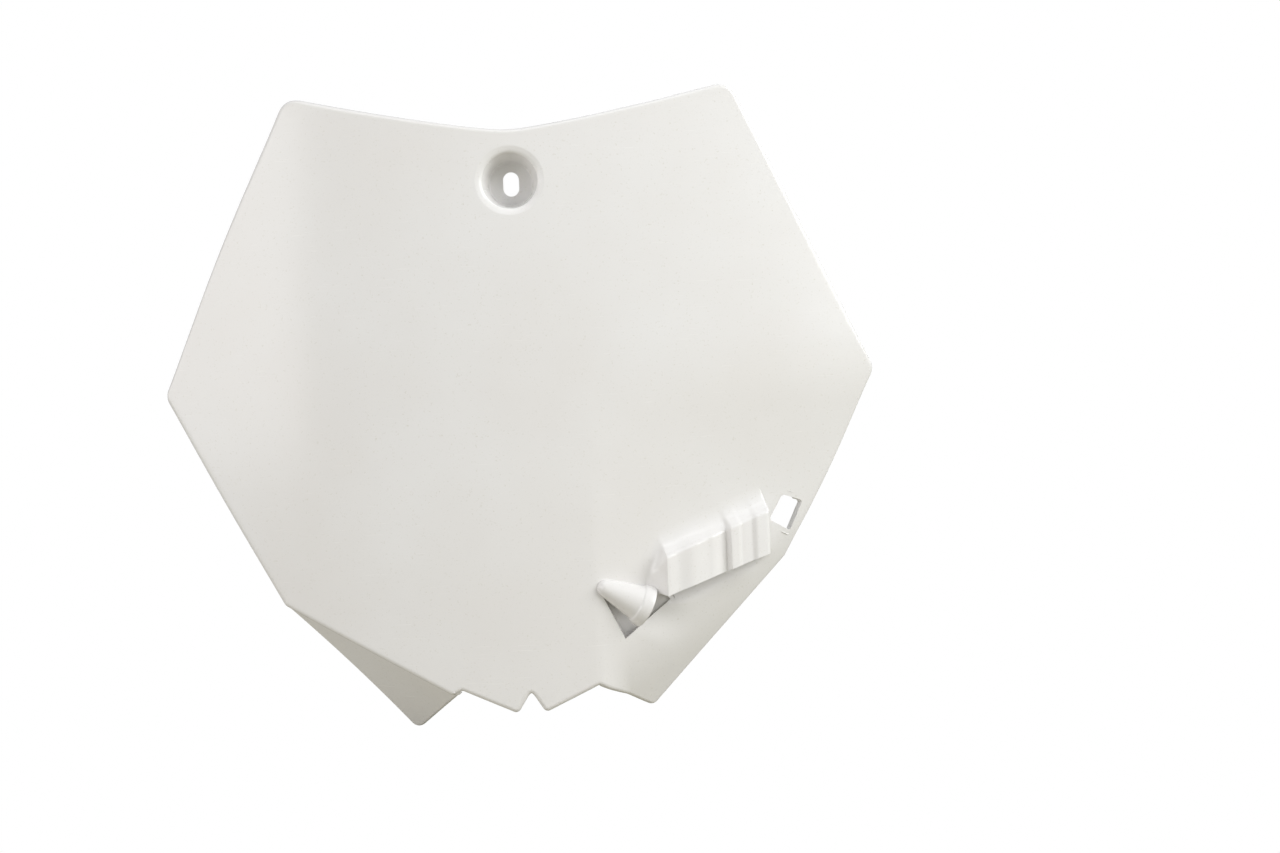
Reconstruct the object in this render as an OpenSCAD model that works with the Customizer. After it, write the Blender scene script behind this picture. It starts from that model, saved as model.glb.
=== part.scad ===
// Racing number board: the front number plate of an off-road motorcycle.
// One moulded sheet of white plastic. The face looks towards -Y, +Z is up and
// the origin is the middle of the bolt slot, on the rear face of the cup floor.

/* [Sheet] */
// Wall thickness of the moulded sheet
wall = 2; // [1.6:0.1:3]
// Radius that rounds the front edge all the way round
edge_r = 1.8; // [1:0.1:2.4]
// Depth of the edge, from the front face to the end of the return lip
lip = 3.4; // [3:0.1:6]
// Radius of the sideways bow of the face
bow_side_r = 450; // [380:5:700]
// Radius of the upright bow of the face
bow_up_r = 4200; // [2500:100:9000]

/* [Outline] */
// Width of the board at its widest corners
board_w = 292.9; // [286:0.1:300]
// Height of the widest corners, measured from the bolt slot
side_z = -80; // [-84:0.2:-76]
// Width across the two top corners
top_w = 179.6; // [170:0.2:186]
// Height of the top corners above the bolt slot
top_z = 38.1; // [35:0.1:44]
// How far the middle of the top edge dips below its corners
top_dip = 18.7; // [14:0.1:20]
// Half the width of the face at its lower left corner
hip_left_x = 98.8; // [96:0.2:102]
// Height of the lower left corner of the face
hip_left_z = -166.8; // [-169:0.2:-163]
// Half the width of the face at its lower right corner
hip_right_x = 107; // [104:0.2:109]
// Height of the lower right corner of the face
hip_right_z = -156.6; // [-160:0.2:-153]
// Distance from the middle to each notch in the bottom edge
notch_x = 27.7; // [26:0.1:30]
// Height of the notches in the bottom edge
notch_z = -203.2; // [-205:0.1:-200]
// Distance from the middle to the heel, where the left wing meets the face
heel_x = 31.6; // [30:0.1:33]
// Height of the heel
heel_z = -205.1; // [-207:0.1:-204]
// Distance from the middle to each of the two middle points
point_x = 5.6; // [5:0.1:8]
// Height of the two middle points
point_z = -213.3; // [-216:0.1:-211]
// Height of the small V between the two middle points
vee_z = -204.5; // [-206:0.1:-203]

/* [Wings] */
// Distance from the middle to the tip of the left wing
tip_left_x = 49.2; // [46:0.2:53]
// Height of the tip of the left wing
tip_left_z = -222.9; // [-226:0.2:-219]
// How far the tip of the left wing lies behind the edge of the face
tip_left_back = 27; // [22:0.5:32]
// Step from the edge of the face down to the left wing
wing_step = 2.6; // [2.2:0.1:3]
// How far the outer edge of the left wing bows inwards
wing_hollow = 1.1; // [0:0.1:3]
// Radius that rounds the free edges of the left wing
wing_edge_r = 1.2; // [0.8:0.1:1.6]
// Distance from the middle to the tip of the right wing
tip_right_x = 50; // [45:0.2:52]
// Height of the tip of the right wing
tip_right_z = -216.8; // [-219:0.2:-212]
// Slope of the right wing against the face
wing_slope = 0.75; // [0.5:0.05:1]
// Length over which the face rolls into the right wing
roll_w = 12; // [8:1:18]

/* [Lower right quarter] */
// Distance from the middle to the upright crease
crease_x = 27.7; // [26:0.1:30]
// Height at which the lower right quarter starts to fall back
fall_z = -79; // [-90:1:-70]
// How fast the lower right quarter falls back, for each mm across and down
fall_rate = 0.0022; // [0.0015:0.0001:0.0028]
// Width over which the top of the quarter blends in
fall_blend = 14; // [8:1:20]

/* [Cup] */
// Diameter of the cup at the face
cup_d = 28.5; // [26:0.1:31]
// Diameter of the cup floor
cup_floor_d = 17.6; // [16:0.1:20]
// Depth of the cup, from the face to its floor
cup_depth = 13.5; // [11:0.1:16]
// Radius that rounds the rim of the cup
cup_rim_r = 1.8; // [1:0.1:2.4]
// Width of the bolt slot
slot_w = 6.4; // [5.4:0.1:7]
// Length of the bolt slot, end to end
slot_l = 9.8; // [8.6:0.1:12]

/* [Hose retainer] */
// Distance from the middle to the left end of the retainer's crest
crest_x = 56.6; // [54:0.2:60]
// Height of the left end of the crest
crest_z = -152.6; // [-155:0.2:-150]
// Length of the crest along its slope
crest_l = 45.6; // [42:0.2:47]
// Angle at which the crest rises to the right
crest_tilt = 21.2; // [18:0.2:24]
// Height of the hanging wall below the crest, at its left end
skirt_h = 15.8; // [14:0.2:18]
// How much higher the hanging wall is at its right end
skirt_more = 1.8; // [0:0.1:3]
// How far the crest stands in front of the face
crest_out = 8; // [6:0.2:10]
// Thickness of the hanging wall
skirt_wall = 1.8; // [1.4:0.1:2.4]
// Length over which the face flares out to the crest
flare_l = 14; // [10:0.5:18]
// Length of the sloping left end of the retainer
flank_l = 10.5; // [8:0.5:13]
// Depth of the waves in the hanging wall
wave_d = 2.2; // [1:0.1:3]

/* [Hose hood] */
// Distance from the middle to the nose of the hood
hood_x = 31.6; // [29:0.2:33]
// Height of the nose of the hood
hood_z = -164.2; // [-166:0.2:-162]
// Length of the hood from its nose to its mouth
hood_l = 18.8; // [17:0.2:21]
// Angle of the hood below the horizontal
hood_tilt = 28; // [24:1:32]
// Radius of the hood at its mouth
hood_r = 8.5; // [7:0.1:9]
// Radius of the hood's round nose
hood_nose_r = 3.6; // [2.6:0.1:4]
// Wall thickness of the hood
hood_wall = 1.5; // [1.2:0.1:2]
// Width of the thicker band round the mouth
hood_band = 5; // [3:0.2:7]
// Depth of the hollow in front of the mouth
hollow_d = 3; // [2:0.5:5]
// Depth of the pocket floor under the hood, from the face plane at the cup
pocket_depth = 16; // [14:0.5:18]
// Distance from the middle to the pocket's low point
pocket_x = 38.5; // [36:0.1:40]
// Height of the pocket's low point
pocket_z = -185.6; // [-188:0.2:-184]

/* [Window] */
// Distance from the middle to the middle of the window
window_x = 105.9; // [104:0.1:107]
// Height of the middle of the window
window_z = -137.4; // [-140:0.2:-136]
// Width of the window
window_w = 7; // [5:0.1:8]
// Length of the window's upright sides
window_h = 12.6; // [10:0.2:14]
// Lean of the window's upright sides
window_lean = 27; // [20:1:28]
// Fall of the window's top edge to the right
window_top_tilt = 23; // [15:1:28]
// Fall of the window's bottom edge to the right
window_low_tilt = 36; // [28:1:40]
// Width of the slope on the window's right side
window_bevel = 2.4; // [0.5:0.1:3]

/* [Hidden] */
$fn = 64;

face_y = -(cup_depth + wall);
eps = 0.02;

// Numbers of steps in the lofted sheet
rows_up = 9;
rows_hip = 8;
rows_low = 14;
cols_notch = 6;
cols_point = 5;
turn = 3;

// Corner radii of the outline, at the very edge
top_r = 8;
side_r = 6.5;
hip_r = 3.6;
tip_r = 3.2;
notch_r = 1.5;
heel_r = 2.1;
point_r = 2.2;
vee_r = 0.8;
dip_r = 8;

function lerp(a, b, t) = a + (b - a) * t;
function unit(v) = v / norm(v);
function ramp(t) = t <= 0 ? 0 : t >= 1 ? 1 : t * t * (3 - 2 * t);
function roll(d, w) = d <= -w ? 0 : d >= w ? d : (d + w) * (d + w) / (4 * w);
function flat(p, q) = p[0] * q[0] + p[1] * q[1];

// Depth of the front surface behind the face plane at the cup, at (x, z): first the bow
function bow(x, z) =
    bow_side_r - sqrt(bow_side_r * bow_side_r - x * x) + z * z / (2 * bow_up_r);

// The lower right quarter falls back from the crease
function quarter(x, z) =
    fall_rate * max(0, x - crease_x) * roll(fall_z - z, fall_blend);

// The right wing rolls back past the line from the lower right corner to the notch
roll_line = unit([hip_right_x - notch_x, hip_right_z - notch_z]);
function past_roll(x, z) = roll_line[1] * (x - notch_x) - roll_line[0] * (z - notch_z);
function wing(x, z) = wing_slope * roll(past_roll(x, z), roll_w) * ramp((x - crease_x) / roll_w);

// The hollow that the hose runs in, in front of the mouth of the hood
hood_dir = [cos(hood_tilt), -sin(hood_tilt)];
hood_side = [sin(hood_tilt), cos(hood_tilt)];
hollow_half_w = 1.5 * hood_r;
hollow_start = 8;
hollow_end = 24;
function along(x, z) = flat([x - hood_x, z - hood_z], hood_dir);
function across(x, z) = flat([x - hood_x, z - hood_z], hood_side);
function hollow(x, z) = let (a = along(x, z) - hood_l, c = across(x, z) / hollow_half_w)
    hollow_d * (1 - ramp(abs(c))) * (1 - ramp(a < 0 ? -a / hollow_start : a / hollow_end));

function depth(x, z) = bow(x, z) + quarter(x, z) + (x > 0 ? wing(x, z) + hollow(x, z) : 0);

function slope(x, z) = let (h = 0.4)
    [(depth(x + h, z) - depth(x - h, z)) / (2 * h), (depth(x, z + h) - depth(x, z - h)) / (2 * h)];
function normal(x, z) = let (g = slope(x, z)) unit([g[0], -1, g[1]]);
function front(p) = [p[0], face_y + depth(p[0], p[1]), p[1]];
function back(p) = front(p) - wall / normal(p[0], p[1])[1] * [0, 1, 0];

// Corners of the outline at the very edge, clockwise from the top left
top_left = [-top_w / 2, top_z];
top_right = [top_w / 2, top_z];
side_right = [board_w / 2, side_z];
hip_right = [hip_right_x, hip_right_z];
tip_right = [tip_right_x, tip_right_z];
notch_right = [notch_x, notch_z];
point_right = [point_x, point_z];
vee = [0, vee_z];
point_left = [-point_x, point_z];
notch_left = [-notch_x, notch_z];
heel_left = [-heel_x, heel_z];
hip_left = [-hip_left_x, hip_left_z];
side_left = [-board_w / 2, side_z];
dip = [0, top_z - top_dip];

CORNERS = [top_left, top_right, side_right, hip_right, tip_right, notch_right, point_right,
    vee, point_left, notch_left, heel_left, hip_left, side_left];
RADII = [top_r, top_r, side_r, hip_r, tip_r, -notch_r, point_r, -vee_r, point_r,
    -notch_r, heel_r, hip_r, side_r];
N_CORNERS = len(CORNERS);
// How far the middle of each side bows outwards
BOWED = [0, 0, 1.1, 0, -0.35, 0, 0, 0, 0, 0, 0, 0.3, 1.1];

// The land is the outline set in by the edge radius; a negative radius is a notch
function inward(p, q) = let (d = unit(q - p)) [d[1], -d[0]];
function land(k) = let (
        p = CORNERS[(k + N_CORNERS - 1) % N_CORNERS],
        c = CORNERS[k % N_CORNERS],
        q = CORNERS[(k + 1) % N_CORNERS],
        a = inward(p, c),
        b = inward(c, q))
    c + edge_r * (a + b) / (1 + flat(a, b));

// Point s, from 0 to 1, on the rounded corner k of the land
function corner(k, s) = let (
        c = land(k),
        u = unit(land(k + N_CORNERS - 1) - c),
        v = unit(land(k + 1) - c),
        r = RADII[k % N_CORNERS] > 0 ? RADII[k % N_CORNERS] - edge_r : edge_r - RADII[k % N_CORNERS],
        d = r * sqrt((1 + flat(u, v)) / (1 - flat(u, v))))
    (1 - s) * (1 - s) * (c + d * u) + 2 * s * (1 - s) * c + s * s * (c + d * v);

// Side k of the land in n steps, from the middle of one corner to the next
function side(k, n) = [for (i = [0:n])
    i <= turn ? corner(k, 0.5 + 0.5 * i / turn)
    : i >= n - turn ? corner(k + 1, 0.5 * (i - n + turn) / turn)
    : let (t = (i - turn) / (n - 2 * turn))
        lerp(corner(k, 1), corner(k + 1, 0), t)
        - inward(land(k), land(k + 1)) * BOWED[k] * 4 * t * (1 - t)];
// A short side has only its rounded ends
function short_side(k) = [corner(k, 0.5), corner(k, 1), corner(k + 1, 0), corner(k + 1, 0.5)];
function reversed(l) = [for (i = [len(l) - 1:-1:0]) l[i]];
function tail(l) = [for (i = [1:len(l) - 1]) l[i]];

// Left and right ends of every row of the loft, from top to bottom
right_ends = concat(side(1, rows_up), tail(side(2, rows_hip)), tail(side(3, rows_low)));
left_ends = concat(reversed(side(12, rows_up)), tail(reversed(side(11, rows_hip))),
    tail(reversed(side(10, rows_low))));
n_rows = rows_up + rows_hip + rows_low;
row_hip = rows_up + rows_hip;

// Bottom edge from the heel to the right notch, then out to the tip of the right wing
bottom_mid = reversed(concat(side(5, cols_notch), tail(side(6, cols_point)),
    tail(side(7, cols_point)), tail(side(8, cols_notch)), tail(short_side(9))));
bottom_right = reversed(side(4, rows_low));
n_mid = len(bottom_mid) - 1;

// Share of the width that each column of the middle band takes
function share(i) = (bottom_mid[i][0] - bottom_mid[0][0]) / (bottom_mid[n_mid][0] - bottom_mid[0][0]);

function top_edge(x) = let (rise = 0.15)
    dip[1] - edge_r + rise * sqrt(x * x + dip_r * dip_r)
    + (top_dip - rise * top_w / 2) * pow(2 * x / top_w, 2);

// Height of the middle band at row j, for column i at x
function fallen(j) = (left_ends[0][1] - left_ends[j][1]) / (left_ends[0][1] - left_ends[n_rows][1]);
function mid_z(j, x, i) = lerp(top_edge(x), bottom_mid[i][1], fallen(j));

// Half width of the middle band at row j: narrower towards the top
function mid_x(j) = let (z = right_ends[j][1])
    z < fall_z ? crease_x : lerp(crease_x, crease_x * 0.7, (z - fall_z) / (top_z - fall_z));

function left_cols(j) = rows_low - max(0, j - row_hip);

// Row j of the loft: left part, middle band, right part
function row(j) = let (
        xm = mid_x(j),
        xl = -xm * heel_x / notch_x,
        n = left_cols(j),
        l = left_ends[j],
        r = right_ends[j],
        ml = [xl, mid_z(j, xl, 0)],
        mr = [xm, mid_z(j, xm, n_mid)])
    concat(
        n == 0 ? [] : [for (i = [0:n - 1]) between(l, ml, i / n, j)],
        [for (i = [0:n_mid]) let (x = lerp(xl, xm, share(i)))
            j == n_rows ? bottom_mid[i] : [x, mid_z(j, x, i)]],
        [for (i = [1:rows_low]) j == n_rows ? bottom_right[i] : between(mr, r, i / rows_low, j)]);
function between(a, b, t, j) = let (x = lerp(a[0], b[0], t))
    j == 0 && t > 0 && t < 1 ? [x, top_edge(x)] : [x, lerp(a[1], b[1], t)];

ROWS = [for (j = [0:n_rows]) row(j)];
function count(j) = left_cols(j) + n_mid + 1 + rows_low;
STARTS = [for (j = 0, s = 0; j <= n_rows; s = s + count(j), j = j + 1) s];
FLAT = [for (r = ROWS) each r];
N_FLAT = len(FLAT);
function at(j, i) = STARTS[j] + i;

// Triangles of the front surface, row by row; low rows lose a column at the left
function cells(j) = let (lost = count(j) - count(j + 1))
    concat(
        lost == 0 ? [] : [[at(j, 0), at(j, 1), at(j + 1, 0)]],
        [for (i = [0:count(j + 1) - 2]) let (
                a = at(j, i + lost),
                b = at(j, i + lost + 1),
                c = at(j + 1, i + 1),
                d = at(j + 1, i))
            each (j >= row_hip && i >= count(j + 1) - 1 - rows_low
                ? [[a, b, d], [b, c, d]] : [[a, b, c], [a, c, d]])]);
CELLS = [for (j = [0:n_rows - 1]) each cells(j)];

// The rim runs clockwise round the land
RIM = concat(
    [for (i = [0:count(0) - 1]) at(0, i)],
    [for (j = [1:n_rows]) at(j, count(j) - 1)],
    [for (i = [count(n_rows) - 2:-1:0]) at(n_rows, i)],
    [for (j = [n_rows - 1:-1:1]) at(j, 0)]);
N_RIM = len(RIM);

// Direction out of the edge at rim point k, along the surface
function out(k) = let (
        p = front(FLAT[RIM[(k + N_RIM - 1) % N_RIM]]),
        q = front(FLAT[RIM[(k + 1) % N_RIM]]),
        c = FLAT[RIM[k]],
        n = normal(c[0], c[1]))
    unit(cross(n, unit(q - p)));

EDGE_STEPS = 3;
// Points of edge ring g: the rounded front edge, then the two corners of the lip
function edge_point(k, g) = let (
        c = FLAT[RIM[k]],
        p = front(c),
        n = normal(c[0], c[1]),
        t = out(k),
        a = 90 * min(g, EDGE_STEPS) / EDGE_STEPS)
    g <= EDGE_STEPS ? p + edge_r * (sin(a) * t - (1 - cos(a)) * n)
    : g == EDGE_STEPS + 1 ? p + edge_r * t - lip * n
    : p + (edge_r - wall) * t - lip * n;
N_RINGS = EDGE_STEPS + 2;

module sheet() {
    points = concat(
        [for (p = FLAT) front(p)],
        [for (p = FLAT) back(p)],
        [for (g = [1:N_RINGS]) for (k = [0:N_RIM - 1]) edge_point(k, g)]);
    rings = concat(
        [RIM],
        [for (g = [0:N_RINGS - 1]) [for (k = [0:N_RIM - 1]) 2 * N_FLAT + g * N_RIM + k]],
        [[for (v = RIM) v + N_FLAT]]);
    faces = concat(
        CELLS,
        [for (f = CELLS) [f[2] + N_FLAT, f[1] + N_FLAT, f[0] + N_FLAT]],
        [for (g = [0:len(rings) - 2]) for (k = [0:N_RIM - 1]) let (m = (k + 1) % N_RIM)
            each [[rings[g][k], rings[g + 1][k], rings[g + 1][m]],
                [rings[g][k], rings[g + 1][m], rings[g][m]]]]);
    polyhedron(points, faces, convexity = 8);
}

// A closed sheet between two nets of points, n steps one way and m the other
module slab(top, low, n, m) {
    function id(i, j) = i * (m + 1) + j;
    k = len(top);
    net = [for (i = [0:n - 1]) for (j = [0:m - 1]) each [
        [id(i, j), id(i, j + 1), id(i + 1, j + 1)], [id(i, j), id(i + 1, j + 1), id(i + 1, j)]]];
    loop = concat([for (j = [0:m]) id(0, j)], [for (i = [1:n]) id(i, m)],
        [for (j = [m - 1:-1:0]) id(n, j)], [for (i = [n - 1:-1:1]) id(i, 0)]);
    walls = [for (a = [0:len(loop) - 1]) let (b = (a + 1) % len(loop)) each [
        [loop[a], k + loop[a], k + loop[b]], [loop[a], k + loop[b], loop[b]]]];
    polyhedron(concat(top, low), concat(net, [for (f = net) [f[2] + k, f[1] + k, f[0] + k]], walls),
        convexity = 6);
}

// The left wing falls back behind the lower left edge of the face, from under its rim
tip_left = [-tip_left_x, tip_left_z];
wing_line = unit(heel_left - hip_left);
function past_heel(x, z) = wing_line[1] * (x - hip_left[0]) - wing_line[0] * (z - hip_left[1]);
left_slope = (tip_left_back - wing_step) / past_heel(tip_left[0], tip_left[1]);
function left_depth(x, z) = bow(x, z) + wing_step + left_slope * past_heel(x, z);
function left_front(p) = [p[0], face_y + left_depth(p[0], p[1]), p[1]];
function left_normal(p) = let (h = 0.4) unit([
    (left_depth(p[0] + h, p[1]) - left_depth(p[0] - h, p[1])) / (2 * h), -1,
    (left_depth(p[0], p[1] + h) - left_depth(p[0], p[1] - h)) / (2 * h)]);

wing_out = -inward(tip_left, hip_left);
wing_low = -inward(notch_left, tip_left);
wing_tip = tip_left - wing_edge_r * (wing_out + wing_low) / (1 + flat(wing_out, wing_low));
wing_hip = hip_left + [0, 1.4];
wing_heel = lerp(heel_left, notch_left, 0.5);
function wing_outer(t) = lerp(wing_hip, wing_tip, t) - wing_hollow * 4 * t * (1 - t) * wing_out;
function wing_bend(t) = let (a = wing_outer(0.96), b = lerp(wing_tip, wing_heel, 0.12))
    (1 - t) * (1 - t) * a + 2 * t * (1 - t) * wing_tip + t * t * b;
WING_EDGE = concat(
    [for (i = [0:8]) wing_outer(0.12 * i)],
    [for (i = [1:3]) wing_bend(i / 3)],
    [for (i = [1:4]) lerp(wing_tip, wing_heel, 0.12 + 0.22 * i)]);

module left_wing() {
    n = len(WING_EDGE) - 1;
    m = 4;
    root_a = hip_left + [1.5, 1];
    root_b = heel_left + [0.6, 1.4];
    function land_point(i, j) = lerp(lerp(root_a, root_b, i / n), WING_EDGE[i], j / m);
    function away(i) = unit(cross(
        left_front(WING_EDGE[min(i + 1, n)]) - left_front(WING_EDGE[max(i - 1, 0)]),
        left_normal(WING_EDGE[i])));
    function over(i, j) = let (p = land_point(i, min(j, m)), v = left_normal(p), a = 30 * (j - m))
        j <= m ? left_front(p)
        : left_front(p) + wing_edge_r * (sin(a) * away(i) - (1 - cos(a)) * v);
    function under(i, j) = let (p = land_point(i, min(j, m)), v = left_normal(p))
        left_front(p) - wall * v + max(0, j - m) / 3 * (wing_edge_r * away(i) + 0.3 * v);
    columns = [0:m + 3];
    top = [for (i = [n:-1:0]) for (j = columns) over(i, j)];
    low = [for (i = [n:-1:0]) for (j = columns) under(i, j)];
    slab(top, low, n, m + 3);
}

// Laid flat drawings stand up in the XZ plane, and heights run towards the viewer
module upright(h, at_y = 0) translate([0, at_y, 0]) rotate([90, 0, 0]) linear_extrude(h) children();

cup_h = cup_depth + wall;
cup_lean = atan((cup_d - cup_floor_d) / 2 / cup_depth);

module cup_body() rotate([90, 0, 0]) rotate_extrude() polygon([
    [0, 0], [cup_floor_d / 2 + wall, 0], [cup_d / 2 + wall, cup_h - wall / 2], [0, cup_h - wall / 2]]);

module cup_hollow() {
    rim_h = cup_h - cup_rim_r;
    rim_x = cup_floor_d / 2 + (rim_h - wall) * tan(cup_lean) + cup_rim_r / cos(cup_lean);
    steps = 6;
    rotate([90, 0, 0]) rotate_extrude() polygon(concat(
        [[0, wall], [cup_floor_d / 2, wall]],
        [for (i = [0:steps]) let (a = lerp(180 - cup_lean, 90, i / steps))
            [rim_x + cup_rim_r * cos(a), rim_h + cup_rim_r * sin(a)]],
        [[rim_x, cup_h + wall], [0, cup_h + wall]]));
}

module bolt_slot() {
    reach = (slot_l - slot_w) / 2;
    h = 3 * wall;
    for (k = [-1, 1]) translate([0, wall, k * reach]) rotate([90, 0, 0]) cylinder(h, d = slot_w);
    translate([-slot_w / 2, -2 * wall, -reach]) cube([slot_w, h, 2 * reach]);
}

// The window is cut with its right side sloping, so that strap or tie slides in
module window_cut() {
    up = [sin(window_lean), cos(window_lean)] * window_h / 2;
    top = [1, -tan(window_top_tilt)] * window_w / 2;
    low = [1, -tan(window_low_tilt)] * window_w / 2;
    mid = [window_x, window_z];
    y = face_y + depth(mid[0], mid[1]);
    function outline(more) = [mid + up - top, mid + up + top + [more, 0], mid - up + low + [more, 0],
        mid - up - low];
    hull() {
        upright(eps, y + 3 * wall) polygon(outline(-window_bevel));
        upright(eps, y - 2 * wall) polygon(outline(2 * window_bevel));
    }
}

// Plan of the hose retainer. Distance u runs along the crest from its left ridge
retainer_w = crest_l * cos(crest_tilt);
WAVES = [[-99, 0], [0, 0], [5, 0.5], [11, 0.15], [20, 0.8], [26.5, 1.3], [30.5, 0], [35, 0.7],
    [39.5, 0], [99, 0.3]];
function wave(u) = let (k = max([for (i = [0:len(WAVES) - 2]) u >= WAVES[i][0] ? i : 0]))
    wave_d * lerp(WAVES[k][1], WAVES[k + 1][1],
        ramp((u - WAVES[k][0]) / (WAVES[k + 1][0] - WAVES[k][0])));
function crest_line(u) = [crest_x + u, crest_z + u * tan(crest_tilt)];
function proud(u) = u < 0 ? lerp(-wall / 3, crest_out, ramp(1 + u / flank_l)) : crest_out - wave(u);
function ground(p) = face_y + bow(p[0], p[1]) + quarter(p[0], p[1]);
function hem_drop(u) = lookup(u, [[-flank_l, wall], [-flank_l / 2, 0.8 * skirt_h], [0, skirt_h],
    [retainer_w, skirt_h + skirt_more]]);
// The right end turns straight back into the face
end_u = retainer_w + 0.4;
RETAINER_U = concat([for (i = [0:6]) lerp(-flank_l, 0, i / 6)],
    [for (i = [1:28]) retainer_w * i / 28], [end_u]);

// The hanging wall runs straight down from the crest to its free hem, and above the
// crest the face flares out to it. Row 0 is the hem, row 1 the crest
module retainer() {
    m = 8;
    up = [-sin(crest_tilt), cos(crest_tilt)] * flare_l;
    deep = 0.75 * wall;
    function spot(u, j) = j == 0 ? crest_line(u) - [0, hem_drop(u)] : crest_line(u) + (j - 1) / m * up;
    function lift(u, t) = (u > retainer_w ? -wall / 2 : proud(u)) * (1 - t) * (1 - t) - wall / 3 * t;
    function over_y(u, j) = j == 0 && u <= retainer_w ? ground(crest_line(u)) - proud(u)
        : ground(spot(u, j)) - lift(u, max(0, (j - 1) / m));
    function thick(u, t) = lerp(u < 0 ? 1.3 * skirt_wall : skirt_wall, wall / 2, t);
    function under_y(u, j) = let (floor_y = ground(spot(u, j)) + deep)
        u > retainer_w - skirt_wall ? floor_y
        : min(floor_y, over_y(u, j) + thick(u, max(0, (j - 1) / m)));
    function place(u, j, y) = let (p = spot(u, j)) [p[0], y, p[1]];
    top = [for (u = RETAINER_U) for (j = [0:m + 1]) place(u, j, over_y(u, j))];
    low = [for (u = RETAINER_U) for (j = [0:m + 1]) place(u, j, under_y(u, j))];
    slab(top, low, len(RETAINER_U) - 1, m + 1);
}

// The gap behind the hanging wall goes through the sheet
module retainer_gap() {
    lo = crest_line(3);
    hi = crest_line(retainer_w - 2 * skirt_wall);
    drop = [0, 0.7 * skirt_h];
    rise = [0, 1.5];
    upright(2 * flare_l, face_y + 2 * flare_l) polygon([lo - drop, lo + rise, hi + rise, hi - drop]);
}

// The hood is half a hollow cone with a round nose, open at its wide end
hood_top = [hood_x, ground([hood_x, hood_z]), hood_z];
hood_end_xz = [hood_x, hood_z] + hood_l * hood_dir;
hood_end = [hood_end_xz[0], ground(hood_end_xz), hood_end_xz[1]];
hood_axis = unit(hood_end - hood_top);
hood_turn = [0, acos(hood_axis[2]), atan2(hood_axis[1], hood_axis[0])];
band_step = 0.6;
module on_hood() translate(hood_top) rotate(hood_turn) children();

module hood_shell() on_hood() difference() {
    union() {
        sphere(hood_nose_r, $fn = 32);
        cylinder(hood_l, r1 = hood_nose_r, r2 = hood_r);
        translate([0, 0, hood_l - hood_band])
            cylinder(hood_band, r1 = lerp(hood_r, hood_nose_r, hood_band / hood_l) + band_step,
                r2 = hood_r + band_step);
    }
    cylinder(hood_l + eps, r1 = hood_nose_r - hood_wall, r2 = hood_r - hood_wall + band_step);
    translate([-2 * hood_l, wall / 2, -hood_l]) cube(4 * hood_l);
}

// The pocket under the hood has upright walls and a flat floor
function inset(list, r) = let (n = len(list)) [for (k = [0:n - 1]) let (
        p = list[(k + n - 1) % n],
        c = list[k],
        a = inward(p, c),
        b = inward(c, list[(k + 1) % n]))
    c + r * (a + b) / (1 + flat(a, b))];
POCKET = [
    [hood_x - 1.8, hood_z - 2.4],
    [hood_x + 1, hood_z + 0.6],
    hood_end_xz + [6.4, 5.8],
    hood_end_xz + [9.4, 2.4],
    [pocket_x, pocket_z]];
module pocket_cut() upright(4 * pocket_depth, face_y + pocket_depth) polygon(POCKET);
module pocket_body() {
    outer = inset(POCKET, -wall);
    n = len(outer);
    function behind(p) = front(p) + [0, wall / 2, 0];
    polyhedron(
        concat(
            [for (p = outer) behind(p)],
            [for (p = outer) [p[0], face_y + pocket_depth + wall, p[1]]],
            [behind(hood_end_xz)]),
        concat(
            [for (k = [0:n - 1]) [2 * n, k, (k + 1) % n]],
            [for (k = [0:n - 1]) [k, n + k, n + (k + 1) % n, (k + 1) % n]],
            [[for (k = [n - 1:-1:0]) n + k]]));
}

module number_board() {
    color("whitesmoke") {
        difference() {
            union() {
                difference() {
                    union() {
                        sheet();
                        pocket_body();
                    }
                    retainer_gap();
                    pocket_cut();
                }
                left_wing();
                cup_body();
                retainer();
                hood_shell();
            }
            cup_hollow();
            bolt_slot();
            window_cut();
        }
    }
}

number_board();
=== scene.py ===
import math

import bmesh
import bpy
from mathutils import Matrix, Vector


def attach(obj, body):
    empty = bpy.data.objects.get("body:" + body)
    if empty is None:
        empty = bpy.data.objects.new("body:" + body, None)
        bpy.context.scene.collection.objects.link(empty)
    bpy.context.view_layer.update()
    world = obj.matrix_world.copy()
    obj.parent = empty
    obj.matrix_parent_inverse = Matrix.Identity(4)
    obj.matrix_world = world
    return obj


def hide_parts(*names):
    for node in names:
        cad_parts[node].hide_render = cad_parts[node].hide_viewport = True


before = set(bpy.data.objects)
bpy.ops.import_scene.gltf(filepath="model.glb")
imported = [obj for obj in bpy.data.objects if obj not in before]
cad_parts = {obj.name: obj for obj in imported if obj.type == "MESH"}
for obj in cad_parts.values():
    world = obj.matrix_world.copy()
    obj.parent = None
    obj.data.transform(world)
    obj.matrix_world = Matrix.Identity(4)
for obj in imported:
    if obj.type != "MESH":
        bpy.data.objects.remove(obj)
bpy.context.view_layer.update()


# Camera: straight in front of the board and level, 0.77 m away, rolled a little
# so that the board leans as in the photograph.
def camera_axes(yaw, pitch, lean):
    level = Matrix(((1, 0, 0), (0, 0, 1), (0, -1, 0)))
    turned = Matrix.Rotation(math.radians(yaw), 3, "Z")
    tilted = Matrix.Rotation(math.radians(pitch), 3, "X")
    rolled = Matrix.Rotation(math.radians(lean), 3, "Z")
    return rolled @ level @ tilted @ turned


camera_data = bpy.data.cameras.new("camera")
camera_data.sensor_width = 36
camera_data.lens = 53.03
camera_data.clip_end = 50
camera = bpy.data.objects.new("camera", camera_data)
bpy.context.scene.collection.objects.link(camera)
pose = camera_axes(yaw=0.8, pitch=0.1, lean=2.38).transposed().to_4x4()
pose.translation = Vector((0.03741, -0.76627, -0.09877))
camera.matrix_world = pose
bpy.context.scene.camera = camera


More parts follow.
